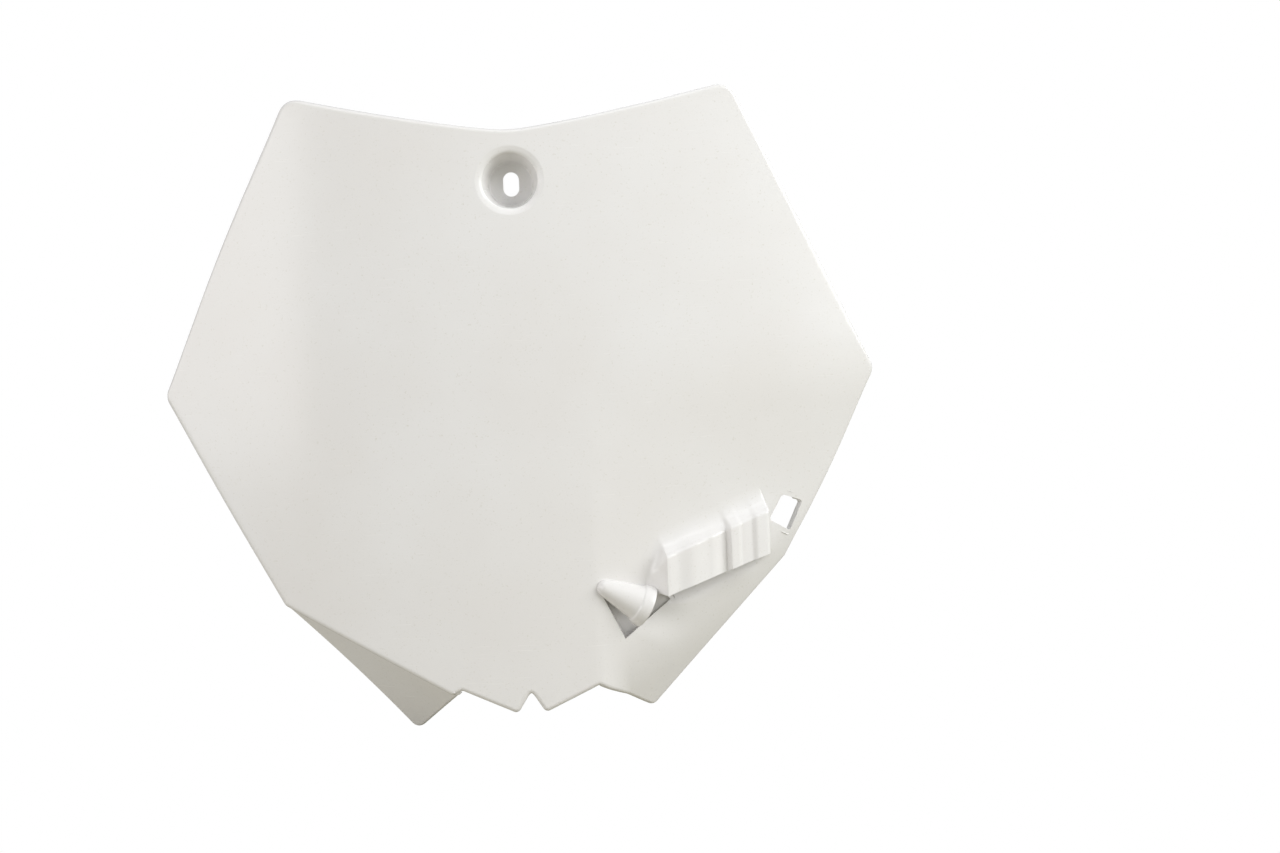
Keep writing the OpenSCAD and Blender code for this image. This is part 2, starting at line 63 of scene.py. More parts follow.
# Floor and backdrop: one pale sheet and the world behind it. The camera sees both as
# plain white; every other ray meets the floor's paint and the world's soft light.
def srgb(code):
    parts = [int(code[i:i + 2], 16) / 255 for i in (0, 2, 4)]
    return [v / 12.92 if v <= 0.04045 else ((v + 0.055) / 1.055) ** 2.4 for v in parts] + [1]


def add(tree, kind, **inputs):
    node = tree.nodes.new(kind)
    for name, value in inputs.items():
        node.inputs[name.replace("_", " ")].default_value = value
    return node


def show_to_camera(tree, shown, lit, output):
    """Gives the camera the shader shown, and all other rays the shader lit."""
    rays = tree.nodes.new("ShaderNodeLightPath")
    choice = tree.nodes.new("ShaderNodeMixShader")
    result = tree.nodes.new(output)
    tree.links.new(rays.outputs["Is Camera Ray"], choice.inputs[0])
    tree.links.new(lit.outputs[0], choice.inputs[1])
    tree.links.new(shown.outputs[0], choice.inputs[2])
    tree.links.new(choice.outputs[0], result.inputs["Surface"])


floor_look = bpy.data.materials.new("plain_white_studio_floor")
floor_look.use_nodes = True
tree = floor_look.node_tree
tree.nodes.clear()
paint = add(tree, "ShaderNodeBsdfDiffuse", Color=srgb("aca898"))
white = add(tree, "ShaderNodeEmission", Color=(1, 1, 1, 1), Strength=1)
show_to_camera(tree, white, paint, "ShaderNodeOutputMaterial")

bpy.ops.mesh.primitive_plane_add(size=8, location=(0, 0, -0.2235))
floor = bpy.context.object
floor.name = "studio_floor"
floor.data.materials.append(floor_look)

world = bpy.data.worlds.new("studio_light")
bpy.context.scene.world = world
world.use_nodes = True
tree = world.node_tree
tree.nodes.clear()
soft = add(tree, "ShaderNodeBackground", Color=srgb("f2f5f8"), Strength=0.37)
white = add(tree, "ShaderNodeBackground", Color=(1, 1, 1, 1), Strength=1)
show_to_camera(tree, white, soft, "ShaderNodeOutputWorld")


# Studio lights: a large soft box on the right and a weaker, slightly warm one on the
# left, both far to the side, a small one above, and one behind for the rear face.
def soft_box(name, place, size, power, tint=(1, 1, 1)):
    """A soft box that faces the middle of the board."""
    data = bpy.data.lights.new(name, "AREA")
    data.shape = "RECTANGLE"
    data.size, data.size_y = size
    data.energy = power
    data.color = tint
    lamp = bpy.data.objects.new(name, data)
    bpy.context.scene.collection.objects.link(lamp)
    lamp.location = place
    away = Vector((0, 0, -0.09)) - Vector(place)
    lamp.rotation_euler = away.to_track_quat("-Z", "Y").to_euler()


soft_box("key_softbox", (1.45, -0.82, 0.62), (1.2, 1.2), 27.2, (0.985, 0.995, 1))
soft_box("fill_softbox", (-1.5, -0.9, 0.16), (1.7, 0.76), 13, (1, 0.98, 0.985))
soft_box("top_softbox", (-0.1, -0.9, 1.35), (1.0, 1.0), 5)
soft_box("rear_softbox", (0.5, 1.6, 0.7), (1.2, 1.2), 9)

# Moulded board, main sheet: white polypropylene 2 mm thick. One grid of quads is laid
# over the bowed face between its four edges; its rim is rounded into a return lip, rings
# sink the bolt cup, and three outlines are cut through it before it gets its thickness.

# Lengths are in millimetres up to finished(), and a 2D point is (x, z) seen from the front
WALL = 2
EDGE = 1.8
LIP = 3.4
FACE_Y = -15.48
BOW_R = 450
UPRIGHT_BOW = 8400
CREASE_X = 27.7
QUARTER_TOP = -79
QUARTER_FALL = 0.0022


def ramp(t):
    """From 0 to 1 with soft ends."""
    t = min(max(t, 0), 1)
    return t * t * (3 - 2 * t)


def roll(d, width):
    """The distance d past a bend, 0 before it, with the bend softened over the width."""
    if d <= -width:
        return 0
    return d if d >= width else (d + width) ** 2 / (4 * width)


def lerp(a, b, t):
    return a + (b - a) * t


def curve(a, b, c, t):
    """Point t on the soft bend from a to c with its corner at b."""
    return (1 - t) ** 2 * a + 2 * t * (1 - t) * b + t * t * c


def inward(p, q):
    """The direction to the right of the way from p to q, inward on a clockwise outline."""
    d = (q - p).normalized()
    return Vector((d.y, -d.x))


def right_of(line, start, p):
    """How far p lies to the right of a line through start."""
    return line.y * (p.x - start.x) - line.x * (p.y - start.y)


# The board's outline, clockwise from the upper left corner, with the radius of each
# corner (less than 0 at a notch) and the bulge of each side that isn't straight. The top
# edge has its own curve, and its two corners lean on the slope of that curve.
CORNERS = [Vector(p) for p in (
    (-89.8, 38.1), (89.8, 38.1), (146.4, -80), (107, -156.6), (50, -216.8),
    (27.7, -203.2), (5.6, -213.3), (0, -204.5), (-5.6, -213.3), (-27.7, -203.2),
    (-31.6, -205.1), (-98.8, -166.8), (-146.4, -80))]
COUNT = len(CORNERS)
RADII = [8, 8, 6.5, 3.6, 3.2, -1.5, 2.2, -1.8, 2.2, -1.5, 2.1, 3.6, 6.5]
BULGES = {2: 1.1, 4: -0.35, 11: 0.3, 12: 1.1}
TOP_SLOPE = Vector((0, 14.2))
HIP_RIGHT, NOTCH_RIGHT = CORNERS[3], CORNERS[5]
NOTCH_LEFT, HEEL, HIP_LEFT = CORNERS[9:12]
ROLL_LINE = (HIP_RIGHT - NOTCH_RIGHT).normalized()

# Places that the face gives way to: the hood's cone and the crest of the hose retainer
HOOD = Vector((31.6, -164.2))
HOOD_LENGTH = 18.8
HOOD_R = 8.5
HOOD_TURN = math.radians(28)
HOOD_LINE = Vector((math.cos(HOOD_TURN), -math.sin(HOOD_TURN)))
HOOD_END = HOOD + HOOD_LENGTH * HOOD_LINE
CREST = Vector((56.6, -152.6))
CREST_TILT = math.radians(21.2)
CREST_RISE = math.tan(CREST_TILT)
RETAINER_W = 45.6 * math.cos(CREST_TILT)


def ground(p):
    """Depth of the bowed face at p, with the lower right quarter that falls back."""
    x, z = p
    bow = BOW_R - math.sqrt(BOW_R ** 2 - x * x) + z * z / UPRIGHT_BOW
    fall = QUARTER_FALL * roll(x - CREASE_X, 2.5) * roll(QUARTER_TOP - z, 14)
    return FACE_Y + bow + fall


def face(p):
    """The ground with the right wing's fold, the hollow at the hood and the hem's channel."""
    if p.x <= 0:
        return ground(p)
    past = right_of(ROLL_LINE, NOTCH_RIGHT, p)
    wing = 0.75 * roll(past, 12) * ramp((p.x - CREASE_X) / 12)
    off = p - HOOD
    along = off.dot(HOOD_LINE) - HOOD_LENGTH
    across = off.dot(Vector((-HOOD_LINE.y, HOOD_LINE.x))) / (1.5 * HOOD_R)
    fade = ramp(-along / 8 if along < 0 else along / 24)
    hollow = 2.2 * (1 - ramp(abs(across))) * (1 - fade)
    u = p.x - CREST.x
    below_hem = CREST.y + u * CREST_RISE - 14.8 - p.y
    ends = ramp((u + 6) / 8) * ramp((RETAINER_W - u) / 8)
    channel = 3.4 * ends * (1 - ramp(below_hem / 9)) * ramp((below_hem + 13) / 4)
    return ground(p) + wing + max(hollow, channel)


def on(surface, p):
    """The 3D point on the surface at p."""
    return Vector((p.x, surface(p), p.y))


def normal(surface, p):
    """The surface's direction to the front at p."""
    dx, dz = Vector((0.4, 0)), Vector((0, 0.4))
    slope_x, slope_z = surface(p + dx) - surface(p - dx), surface(p + dz) - surface(p - dz)
    return Vector((slope_x, -0.8, slope_z)).normalized()


def land(k):
    """Corner k of the outline, set in by the radius of the rounded edge."""
    k %= COUNT
    c = CORNERS[k]
    p = TOP_SLOPE if k == 1 else CORNERS[k - 1]
    q = TOP_SLOPE if k == 0 else CORNERS[(k + 1) % COUNT]
    a, b = inward(p, c), inward(c, q)
    return c + EDGE * (a + b) / (1 + a.dot(b))


def corner(k, s):
    """Point s, from 0 to 1, on the rounded corner k; a negative radius is a notch."""
    k %= COUNT
    c = land(k)
    middle = TOP_SLOPE - Vector((0, EDGE))
    u = ((middle if k == 1 else land(k - 1)) - c).normalized()
    v = ((middle if k == 0 else land(k + 1)) - c).normalized()
    r = abs(RADII[k]) + (EDGE if RADII[k] < 0 else -EDGE)
    d = r * math.sqrt((1 + u.dot(v)) / (1 - u.dot(v)))
    return curve(c + d * u, c, c + d * v, s)


TURN = 6


def side(k, n, turn=TURN):
    """Side k in n steps, of which turn at each end lie on half of the rounded corner."""
    points = []
    for i in range(n + 1):
        t = (i - turn) / (n - 2 * turn)
        if t <= 0:
            points.append(corner(k, 0.5 + 0.5 * i / turn))
        elif t >= 1:
            points.append(corner(k + 1, 0.5 * (i - n + turn) / turn))
        else:
            bulge = BULGES.get(k, 0) * (4 * t * (1 - t)) ** 2
            straight = lerp(corner(k, 1), corner(k + 1, 0), t)
            points.append(straight - inward(land(k), land(k + 1)) * bulge)
    return points


def chain(*parts):
    """Sides joined end to end, without the points that two of them share."""
    return parts[0] + [p for part in parts[1:] for p in part[1:]]


def top_edge(x):
    """Height of the dipped top edge, set in like the corners."""
    return 19.4 - EDGE + 0.15 * math.sqrt(x * x + 64) + 5.23 * (x / 89.8) ** 2


def top_row(a, b, n):
    return [Vector((x, top_edge(x))) for x in (lerp(a, b, i / n) for i in range(n + 1))]


# The grid's layout: columns left of the heel, a middle band over the points at the
# bottom, and columns on the right. The left side runs down to the heel, so the grid's
# lower left corner goes unused, and is cut off along a diagonal.
left = chain(side(12, 60)[::-1], side(11, 50)[::-1], side(10, 48)[::-1])
right = chain(side(1, 60), side(2, 50), side(3, 48))
low_mid = chain(side(5, 24), side(6, 14, 5), side(7, 14, 5), side(8, 24), side(9, 8, 3))[::-1]
low_right = side(4, 44)[::-1]
LEFT, MIDDLE, RIGHT = 48, len(low_mid) - 1, len(low_right) - 1
COLUMNS, ROWS = LEFT + MIDDLE + RIGHT, len(left) - 1
HIP_ROW = ROWS - LEFT
CROWN_X = 0.7 * CREASE_X
HEEL_SHARE = low_mid[0].x / low_mid[-1].x

top_left = [corner(0, 0.5 + 0.5 * i / TURN) for i in range(TURN)]
top_left += top_row(corner(0, 1).x, HEEL_SHARE * CROWN_X, LEFT - TURN)
top_right = top_row(CROWN_X, corner(1, 0).x, RIGHT - TURN)
top_right += [corner(1, 0.5 * i / TURN) for i in range(1, TURN + 1)]


def share(points, i, axis):
    """How far point i has come from the first to the last, measured on one axis."""
    return (points[i][axis] - points[0][axis]) / (points[-1][axis] - points[0][axis])


def band_point(i, j):
    """The middle band stands over the bottom points and narrows towards the top."""
    fall, across = share(left, j, 1), share(low_mid, i, 0)
    crown_z = top_edge(CROWN_X)
    height = lerp(crown_z, low_mid[-1].y, fall) - QUARTER_TOP
    half = lerp(low_mid[-1].x, CROWN_X, max(0, height / (crown_z - QUARTER_TOP)))
    x = lerp(HEEL_SHARE * half, half, across)
    return Vector((x, lerp(top_edge(x), low_mid[i].y, fall)))


def left_point(i, j):
    """Left of the band; below the lower left corner each row is a column shorter."""
    lost = max(0, j - HIP_ROW)
    t = max(0, i - lost) / (LEFT - lost) if lost < LEFT else 1
    dip = top_left[i] - lerp(top_left[0], top_left[-1], i / LEFT)
    return lerp(left[j], band_point(0, j), t) + max(0, 1 - j / HIP_ROW) * dip


def right_point(i, j):
    """Right of the band: a patch blended between its four edges."""
    inner = band_point(MIDDLE, j)
    fall = share(left, j, 1)
    u = lerp(share(top_right, i, 0), share(low_right, i, 0), fall)
    v = lerp(fall, share(right, j, 1), u)
    edges = lerp(inner, right[j], u) + lerp(top_right[i], low_right[i], v)
    top, low = lerp(top_right[0], top_right[-1], u), lerp(low_right[0], low_right[-1], u)
    return edges - lerp(top, low, v)


def net_point(i, j):
    if i < LEFT:
        return left_point(i, j)
    if i <= LEFT + MIDDLE:
        return band_point(i - LEFT, j)
    return right_point(i - LEFT - MIDDLE, j)


def grid(columns, rows, place):
    """A sheet of quads; vertex (i, j) stands at place(i, j), with j counted downwards."""
    bm = bmesh.new()
    bmesh.ops.create_grid(bm, x_segments=columns, y_segments=rows, size=0.5)
    net = {(round((v.co.x + 0.5) * columns), round((0.5 - v.co.y) * rows)): v
           for v in bm.verts}
    for key, v in net.items():
        v.co = place(*key)
    return bm, net


def push(bm, line, place, closed=True):
    """Extrudes a line of open edges, and puts the new vertex k at place(k)."""
    edges = [bm.edges.get(pair) for pair in zip(line, line[1:] + line[:1] if closed else line[1:])]
    made = bmesh.ops.extrude_edge_only(bm, edges=edges)["geom"]
    made = {v for v in made if isinstance(v, bmesh.types.BMVert)}
    fresh = [next(e.other_vert(v) for e in v.link_edges if e.other_vert(v) in made)
             for v in line]
    for k, v in enumerate(fresh):
        v.co = place(k)
    return fresh


def round_over(bm, line, outs, ups, radius, lip, closed=True):
    """Rounds a line of open edges back by the radius, and ends it in a lip."""
    feet = [v.co.copy() for v in line]
    for a in range(15, 91, 15):
        s, c = math.sin(math.radians(a)), 1 - math.cos(math.radians(a))
        line = push(bm, line, lambda k: feet[k] + radius * (s * outs[k] - c * ups[k]), closed)
    push(bm, line, lambda k: feet[k] + radius * outs[k] - lip * ups[k], closed)


def finished(bm, name, thickness):
    """The sheet as an object in metres, with its thickness laid on behind it."""
    bmesh.ops.recalc_face_normals(bm, faces=bm.faces)
    if sum(f.normal.y * f.calc_area() for f in bm.faces) > 0:
        bmesh.ops.reverse_faces(bm, faces=bm.faces)
    bmesh.ops.scale(bm, vec=(0.001, 0.001, 0.001), verts=bm.verts)
    mesh = bpy.data.meshes.new(name)
    bm.to_mesh(mesh)
    bm.free()
    piece = bpy.data.objects.new(name, mesh)
    bpy.context.scene.collection.objects.link(piece)
    wall = piece.modifiers.new("wall", "SOLIDIFY")
    wall.thickness = thickness / 1000
    wall.offset = -1
    thick = piece.evaluated_get(bpy.context.evaluated_depsgraph_get())
    solid = bpy.data.meshes.new_from_object(thick)
    piece.modifiers.clear()
    piece.data = solid
    return piece


bm, net = grid(COLUMNS, ROWS, lambda i, j: on(face, net_point(i, j)))
for i in range(LEFT):
    bmesh.ops.connect_verts(bm, verts=[net[i, HIP_ROW + i], net[i + 1, HIP_ROW + i + 1]])
beyond = [v for (i, j), v in net.items() if i < j - HIP_ROW]
bmesh.ops.delete(bm, geom=beyond, context="VERTS")

# Rounded edge and return lip, all the way round
rim = [net[i, 0] for i in range(COLUMNS)] + [net[COLUMNS, j] for j in range(ROWS)]
rim += [net[i, ROWS] for i in range(COLUMNS, LEFT, -1)]
rim += [net[max(0, j - HIP_ROW), j] for j in range(ROWS, 0, -1)]
feet = [v.co.copy() for v in rim]
ups = [normal(face, p.xz) for p in feet]
outs = [up.cross(feet[(k + 1) % len(feet)] - feet[k - 1]).normalized()
        for k, up in enumerate(ups)]
round_over(bm, rim, outs, ups, EDGE, LIP)

# Bolt cup: a block of quads gives way to rings that turn round, run down the sloping
# rim and the cone, and close in on the upright slot in the flat floor
CUP_R, FLOOR_R = 13.9, 8.8
CUP_BLOCK = CUP_R + 2.5
CUP_RIM = [(CUP_R, 0), (13.75, 0.02), (13.5, 0.1), (12.6, 0.36), (11.8, 0.62),
           (11.4, 0.95), (11.15, 1.5), (11, 2.3)]
FLOOR_RIM = [(8.72, 0.25), (8.5, 0.08), (8.2, 0), (6.2, 0)]
SLOT_RIM = [(0.5, 0), (0.15, 0.05), (0, 0.3)]
SLOT_R, SLOT_REACH = 3.2, 1.7

inner = [key for key, v in net.items()
         if v.is_valid and abs(v.co.x) < CUP_BLOCK and abs(v.co.z) < CUP_BLOCK]
i0, i1 = min(i for i, j in inner), max(i for i, j in inner)
j0, j1 = min(j for i, j in inner), max(j for i, j in inner)
hole = [net[i, j0] for i in range(i0, i1)] + [net[i1, j] for j in range(j0, j1)]
hole += [net[i, j1] for i in range(i1, i0, -1)] + [net[i0, j] for j in range(j1, j0, -1)]
block = {net[i, j] for i in range(i0, i1 + 1) for j in range(j0, j1 + 1)}
block_faces = [f for f in bm.faces if set(f.verts) <= block]
bmesh.ops.delete(bm, geom=block_faces, context="FACES_ONLY")
bmesh.ops.delete(bm, geom=[e for e in bm.edges if not e.link_faces], context="EDGES")
square = [v.co.xz for v in hole]
turns = [p.normalized() for p in square]


def ring_point(k, r, y):
    return Vector((r * turns[k].x, y, r * turns[k].y))


def slot_point(k, more, y):
    """Where ring direction k meets the slot, made wider all round by more."""
    c, s = turns[k]
    r = SLOT_R + more
    d = r / max(abs(c), 1e-6)
    if d * abs(s) > SLOT_REACH:
        d = SLOT_REACH * abs(s) + math.sqrt(r * r - (SLOT_REACH * c) ** 2)
    p = d * turns[k]
    return Vector((p.x, y, p.y))


line = hole
for t in (0.5, 0.85):
    line = push(bm, line, lambda k: on(face, lerp(square[k], CUP_R * turns[k], t)))
for r, depth in CUP_RIM:
    line = push(bm, line, lambda k: on(face, r * turns[k]) + Vector((0, depth, 0)))
brink = [v.co.copy() for v in line]
for t in (0.3, 0.6, 0.9, 0.96):
    line = push(bm, line, lambda k: lerp(brink[k], ring_point(k, FLOOR_R, -WALL), t))
for r, up in FLOOR_RIM:
    line = push(bm, line, lambda k: ring_point(k, r, -WALL - up))
for more, down in SLOT_RIM:
    line = push(bm, line, lambda k: slot_point(k, more, -WALL + down))


# The three outlines that are cut through the sheet: the window for the strap, the
# gap behind the hanging wall, and the pocket under the hood
def inside(outline, p, slack=0):
    pairs = zip(outline, outline[1:] + outline[:1])
    return all(inward(a, b).dot(p - a) > -slack for a, b in pairs)


def cut(bm, outline):
    """Cuts a convex clockwise outline out of the sheet and gives the loop of its edge."""
    margin = 3
    lo = Vector((min(p.x for p in outline) - margin, min(p.y for p in outline) - margin))
    hi = Vector((max(p.x for p in outline) + margin, max(p.y for p in outline) + margin))

    def near(v):
        return lo.x < v.co.x < hi.x and lo.y < v.co.z < hi.y

    for a, b in zip(outline, outline[1:] + outline[:1]):
        n = inward(a, b)
        faces = [f for f in bm.faces if any(near(v) for v in f.verts)]
        local = dict.fromkeys(part for f in faces for part in (*f.verts, *f.edges))
        bmesh.ops.bisect_plane(bm, geom=faces + list(local), dist=1e-4,
                               plane_co=(a.x, 0, a.y), plane_no=(n.x, 0, n.y))
    bmesh.ops.remove_doubles(bm, verts=[v for v in bm.verts if near(v)], dist=0.1)
    gone = [f for f in bm.faces if inside(outline, f.calc_center_median().xz)]
    bmesh.ops.delete(bm, geom=gone, context="FACES")
    brim = [e for e in bm.edges
            if e.is_boundary and all(inside(outline, v.co.xz, 0.12) for v in e.verts)]
    loop = [brim[0].verts[0], brim[0].verts[1]]
    while True:
        step = next(e.other_vert(loop[-1]) for e in loop[-1].link_edges
                    if e in brim and e.other_vert(loop[-1]) is not loop[-2])
        if step is loop[0]:
            return loop
        loop.append(step)


# Window: half of its upright, top and lower edge, with the right side moved out by wider.
# Its corners are cut by 0.8 mm, and its right wall slopes in towards the rear
WINDOW = Vector((105.9, -137.4))
lean, high, low = Vector((2.86, 5.61)), Vector((3.5, -1.49)), Vector((3.5, -2.54))
wider = Vector((1.92, 0))
window = [WINDOW + lean - high, WINDOW + lean + high + wider,
          WINDOW - lean + low + wider, WINDOW - lean - low]
outline = []
for k, c in enumerate(window):
    for other in (window[k - 1], window[(k + 1) % 4]):
        outline.append(lerp(c, other, 0.8 / (other - c).length))
loop = cut(bm, outline)
feet = [v.co.copy() for v in loop]
middles = [lerp(WINDOW.x, WINDOW.x + lean.x, (p.z - WINDOW.y) / lean.y) for p in feet]
right_x = [ramp((p.x - middle) / 3.5) for p, middle in zip(feet, middles)]
line = push(bm, loop, lambda k: feet[k] + Vector((-0.25 * (2 * right_x[k] - 1), 0.25, 0)))
push(bm, line, lambda k: feet[k] + Vector((
    -1.6 * right_x[k] + 0.25 * (1 - right_x[k]), WALL + 0.2, 0)))


def crest_line(u):
    """Point u on the crest, which drops steeply left of the ridge."""
    return CREST + Vector((u, u * (CREST_RISE if u > 0 else 1.15)))


gap_left, gap_right = crest_line(3), crest_line(RETAINER_W - 3.6)
drop, rise = Vector((0, 11.06)), Vector((0, 1.5))
cut(bm, [gap_left - drop, gap_left + rise, gap_right + rise, gap_right - drop])

POCKET_Y = FACE_Y + 16
loop = cut(bm, [HOOD + Vector((-1.8, -2.4)), HOOD + Vector((1, 0.6)),
                HOOD_END + Vector((6.4, 5.8)), HOOD_END + Vector((9.4, 2.4)),
                Vector((38.7, -185.3))])
feet = [v.co.copy() for v in loop]
line = push(bm, loop, lambda k: Vector((feet[k].x, lerp(feet[k].y, POCKET_Y, 0.5), feet[k].z)))
line = push(bm, line, lambda k: Vector((feet[k].x, POCKET_Y, feet[k].z)))
bmesh.ops.contextual_create(bm, geom=line)
parts = [finished(bm, "board_sheet", WALL)]

# Moulded board, left wing: the same sheet, which falls back from under the rounded edge
# of the face, with rounded free edges. A grid between the root line and the wing's outer
# edge, which is bowed down to the tip, turns round it and runs straight up to the heel.
TIP_LEFT = Vector((-49.2, -222.68))
HEEL_LINE = (HEEL - HIP_LEFT).normalized()
WING_STEP, WING_FALL = 2.6, 23.6
WING_R = 1.2


def wing_face(p):
    """The ground, a step back, and a fall that grows from the heel line to the tip."""
    t = right_of(HEEL_LINE, HIP_LEFT, p) / right_of(HEEL_LINE, HIP_LEFT, TIP_LEFT)
    t = max(t, -0.05)
    return ground(p) + WING_STEP + WING_FALL * t * (1.15 - 0.15 * t)


wing_out = -inward(TIP_LEFT, HIP_LEFT)
wing_low = -inward(NOTCH_LEFT, TIP_LEFT)
wing_tip = TIP_LEFT - WING_R * (wing_out + wing_low) / (1 + wing_out.dot(wing_low))
wing_hip = HIP_LEFT + Vector((0, 1.4))
wing_heel = lerp(HEEL, NOTCH_LEFT, 0.7) + Vector((0, 0.6))


def wing_outer(t):
    return lerp(wing_hip, wing_tip, t) - 1.1 * 4 * t * (1 - t) * wing_out


bend_a, bend_b = wing_outer(0.96), lerp(wing_tip, wing_heel, 0.12)
wing_edge = [wing_outer(0.96 * i / 60) for i in range(60)]
wing_edge += [curve(bend_a, wing_tip, bend_b, i / 12) for i in range(12)]
wing_edge += [lerp(bend_b, wing_heel, i / 20) for i in range(21)]
last, depth = len(wing_edge) - 1, 24
root_a, root_b = HIP_LEFT + Vector((1.5, 1)), HEEL + Vector((0.6, 1.4))


def wing_point(i, j):
    return on(wing_face, lerp(lerp(root_a, root_b, i / last), wing_edge[i], j / depth))


bm, net = grid(last, depth, wing_point)
line = [net[i, depth] for i in range(last + 1)]
feet = [v.co.copy() for v in line]
ups = [normal(wing_face, p) for p in wing_edge]
outs = [(feet[min(k + 1, last)] - feet[max(k - 1, 0)]).cross(up).normalized()
        for k, up in enumerate(ups)]
round_over(bm, line, outs, ups, WING_R, WALL, closed=False)
parts.append(finished(bm, "board_left_wing", 0.8 * WALL))

# Moulded board, hose retainer: the face flares out to a crest, and a wavy wall hangs
# from it to a free hem. A grid from the flare over the rounded crest down to the hem,
# with u counted from the ridge to the right; WAVES gives the depth of each wave by u.
WAVES = [(-99, 0), (0, 0), (5, 0.45), (10.5, 0.1), (18, 0.6), (24.4, 1.35), (26.8, 0),
         (29.6, 0.05), (31, 0.5), (35, 0.55), (37.6, 0), (99, 0.2)]
WAVE_DEPTH = 2.2
FLANK, FLARE, OUT = 10.5, 15, 8
END_R = 1.2
HEM = 15.8
flare_up = FLARE * Vector((-math.sin(CREST_TILT), math.cos(CREST_TILT)))


def proud(u):
    """How far the crest stands out at u: the left flank, the waves, the rounded right end."""
    if u > RETAINER_W:
        return -1
    if u < 0:
        return lerp(-WALL / 3, OUT, (1 + u / FLANK) ** 1.5)
    (u0, a), (u1, b) = next(pair for pair in zip(WAVES, WAVES[1:]) if pair[1][0] > u)
    wave = WAVE_DEPTH * lerp(a, b, ramp((u - u0) / (u1 - u0)))
    edge = max(0, u - RETAINER_W + END_R)
    return OUT - wave - END_R + math.sqrt(END_R ** 2 - edge ** 2)


def hem_drop(u):
    """Height of the hanging wall at u."""
    if u >= 0:
        return HEM + 1.8 * u / RETAINER_W
    return lerp(HEM, 1.2, -u / FLANK)


def profile(u, s):
    """Point s of the retainer at u: 0 at the hem, 1 on the crest, 2 where the flare ends."""
    if s <= 1:
        p = crest_line(u) - Vector((0, hem_drop(u) * (1 - s)))
        y = ground(crest_line(u)) - proud(u) if u <= RETAINER_W else ground(p) + 1
        return Vector((p.x, y, p.y))
    t = s - 1
    p = crest_line(u) + t * flare_up
    return Vector((p.x, ground(p) - proud(u) * (1 - t) ** 4.5 + 0.05 * t, p.y))


def rounded(u, s):
    """The profile with its crest rounded over 0.9 mm on both sides."""
    a, b = 1 - 0.9 / max(hem_drop(u), 2), 1 + 0.9 / FLARE
    if not a < s < b:
        return profile(u, s)
    return curve(profile(u, a), profile(u, 1), profile(u, b), (s - a) / (b - a))


us = [lerp(-FLANK, 0, i / 18) for i in range(18)]
us += [(RETAINER_W - END_R) * i / 84 for i in range(85)]
us += [RETAINER_W - END_R * (1 - math.sin(math.radians(a))) for a in (20, 40, 60, 80)]
us += [RETAINER_W, RETAINER_W + 0.4]
levels = [0.94 * j / 12 for j in range(12)] + [lerp(0.94, 1.07, j / 10) for j in range(10)]
levels += [lerp(1.07, 2, (j / 24) ** 1.5) for j in range(25)]
levels.reverse()
bm, net = grid(len(us) - 1, len(levels) - 1, lambda i, j: rounded(us[i], levels[j]))
parts.append(finished(bm, "board_hose_retainer", 1.6))

# Moulded board, hose hood: half a hollow cone with a round nose and a thicker band
# round its mouth. A grid turned about the cone's axis, one column to each ring.
base = on(ground, HOOD)
axis = (on(ground, HOOD_END) - base).normalized()
front = (Vector((0, -1, 0)) + axis.y * axis).normalized()
across = axis.cross(front)
TAPER = math.atan(0.2548)
NOSE_R = 3.6
BAND = [(14.2, 0.15), (14.4, 0.4), (14.7, 0.55), (15.1, 0.6), (16.5, 0.6), (18.1, 0.6),
        (18.5, 0.5), (18.75, 0.3), (HOOD_LENGTH, 0)]
nose = [(math.pi / 2 - TAPER) * i / 10 for i in range(11)]
rings = [(-NOSE_R * math.cos(a), NOSE_R * math.sin(a)) for a in nose]
for s, more in [(14 * i / 12, 0) for i in range(13)] + BAND:
    rings.append((s, NOSE_R / math.cos(TAPER) + s * math.tan(TAPER) + more))


def hood_point(i, j):
    s, r = rings[i]
    a = math.radians(lerp(100, -100, j / 40))
    return base + s * axis + r * (math.cos(a) * front + math.sin(a) * across)


bm, net = grid(len(rings) - 1, 40, hood_point)
parts.append(finished(bm, "board_hose_hood", 1.4))

# Moulded board, whole: the four parts above are one moulding, so they become one piece.
bm = bmesh.new()
for part in parts:
    bm.from_mesh(part.data)
    bpy.data.objects.remove(part)
mesh = bpy.data.meshes.new("moulded_board")
bm.to_mesh(mesh)
bm.free()
for polygon in mesh.polygons:
    polygon.use_smooth = True
mesh.set_sharp_from_angle(angle=math.radians(38))
board = bpy.data.objects.new("moulded_board", mesh)
bpy.context.scene.collection.objects.link(board)
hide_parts("number_board")
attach(board, "root")

# Look: injection-moulded gloss polypropylene, white, a little cloudy and specked, with
# an orange-peel skin, a faint ripple and a few scuffs.
board_look = bpy.data.materials.new("injection_moulded_gloss_polypropylene")
board_look.use_nodes = True
tree = board_look.node_tree
shader = tree.nodes["Principled BSDF"]
shader.inputs["IOR"].default_value = 1.49
shader.inputs["Specular IOR Level"].default_value = 0.4
shader.inputs["Coat Weight"].default_value = 0.15
shader.inputs["Coat Roughness"].default_value = 0.12
place = tree.nodes.new("ShaderNodeTexCoord")
cloud = add(tree, "ShaderNodeTexNoise", Scale=14, Detail=3, Roughness=0.55)
speck = add(tree, "ShaderNodeTexNoise", Scale=1100, Detail=2, Roughness=0.6)
peel = add(tree, "ShaderNodeTexNoise", Scale=420, Detail=2, Roughness=0.5)
ripple = add(tree, "ShaderNodeTexNoise", Scale=45, Detail=1, Roughness=0.4)
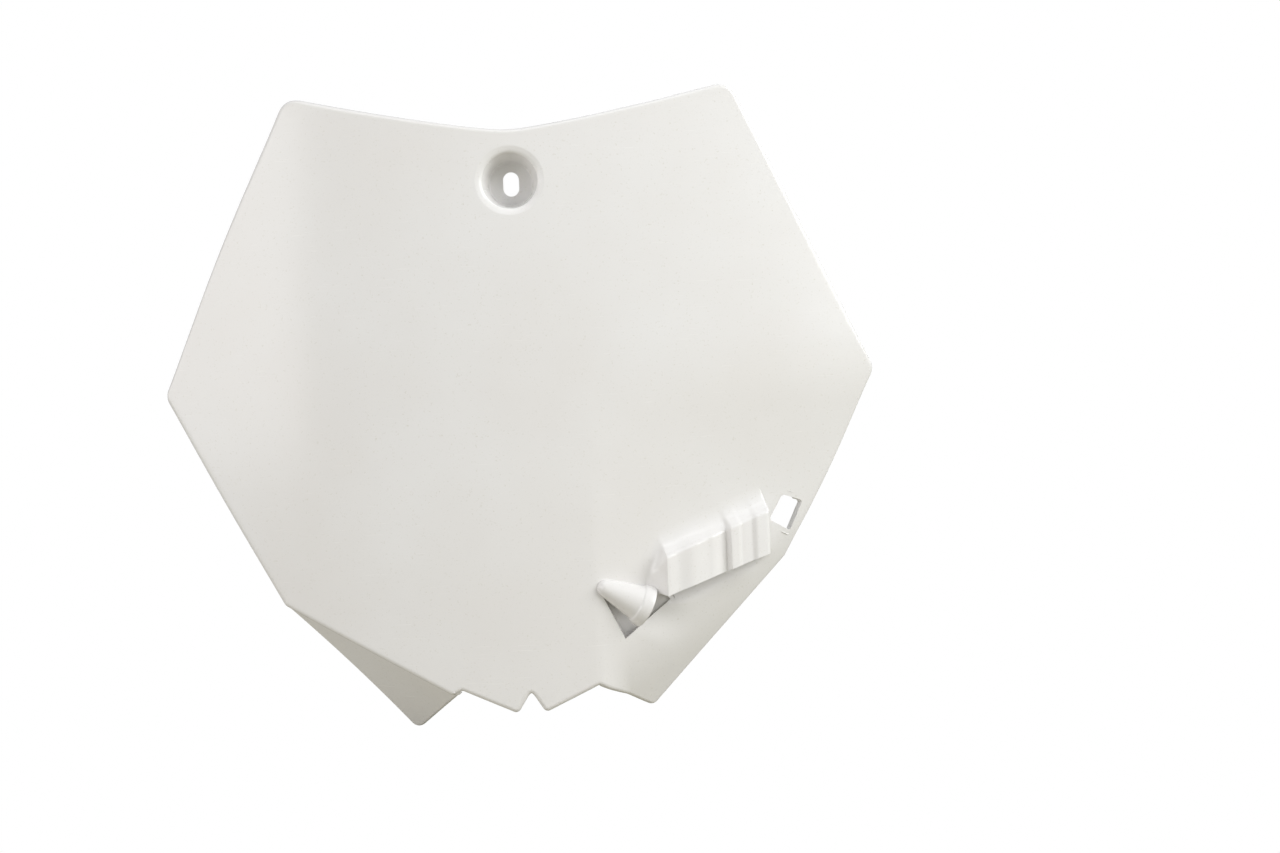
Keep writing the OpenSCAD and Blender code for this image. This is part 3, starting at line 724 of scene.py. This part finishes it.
stretch = add(tree, "ShaderNodeMapping", Scale=(60, 60, 1400), Rotation=(0, 0.6, 0))
scuff = add(tree, "ShaderNodeTexNoise", Scale=1, Detail=4, Roughness=0.7)
for pattern in (cloud, speck, peel, ripple, stretch):
    tree.links.new(place.outputs["Object"], pattern.inputs["Vector"])
tree.links.new(stretch.outputs["Vector"], scuff.inputs["Vector"])


def blend(kind, factor, low, high):
    """A mix of two colours or values by the factor."""
    node = tree.nodes.new("ShaderNodeMix")
    node.data_type = kind
    first, result = {"FLOAT": (2, 0), "RGBA": (6, 2)}[kind]
    tree.links.new(factor, node.inputs[0])
    for socket, value in ((node.inputs[first], low), (node.inputs[first + 1], high)):
        if isinstance(value, bpy.types.NodeSocket):
            tree.links.new(value, socket)
        else:
            socket.default_value = value
    return node.outputs[result]


def stretched(factor, low, high):
    """The part of a pattern between low and high, drawn out to 0 and 1."""
    node = add(tree, "ShaderNodeMapRange", From_Min=low, From_Max=high)
    tree.links.new(factor, node.inputs["Value"])
    return node.outputs["Result"]


clouded = stretched(cloud.outputs["Fac"], 0.35, 0.65)
specked = stretched(speck.outputs["Fac"], 0.62, 0.75)
plain = blend("RGBA", clouded, srgb("e8e6e4"), srgb("ebeae9"))
grain = blend("RGBA", specked, plain, srgb("dfddd8"))
tree.links.new(grain, shader.inputs["Base Color"])
worn = stretched(scuff.outputs["Fac"], 0.6, 0.72)
satin = blend("FLOAT", cloud.outputs["Fac"], 0.16, 0.24)
tree.links.new(blend("FLOAT", worn, satin, 0.34), shader.inputs["Roughness"])
fine = add(tree, "ShaderNodeBump", Strength=0.12, Distance=0.0001)
broad = add(tree, "ShaderNodeBump", Strength=0.1, Distance=0.0008)
tree.links.new(peel.outputs["Fac"], fine.inputs["Height"])
tree.links.new(ripple.outputs["Fac"], broad.inputs["Height"])
tree.links.new(broad.outputs["Normal"], fine.inputs["Normal"])
tree.links.new(fine.outputs["Normal"], shader.inputs["Normal"])
board.data.materials.append(board_look)

bpy.context.scene.view_settings.view_transform = "Standard"
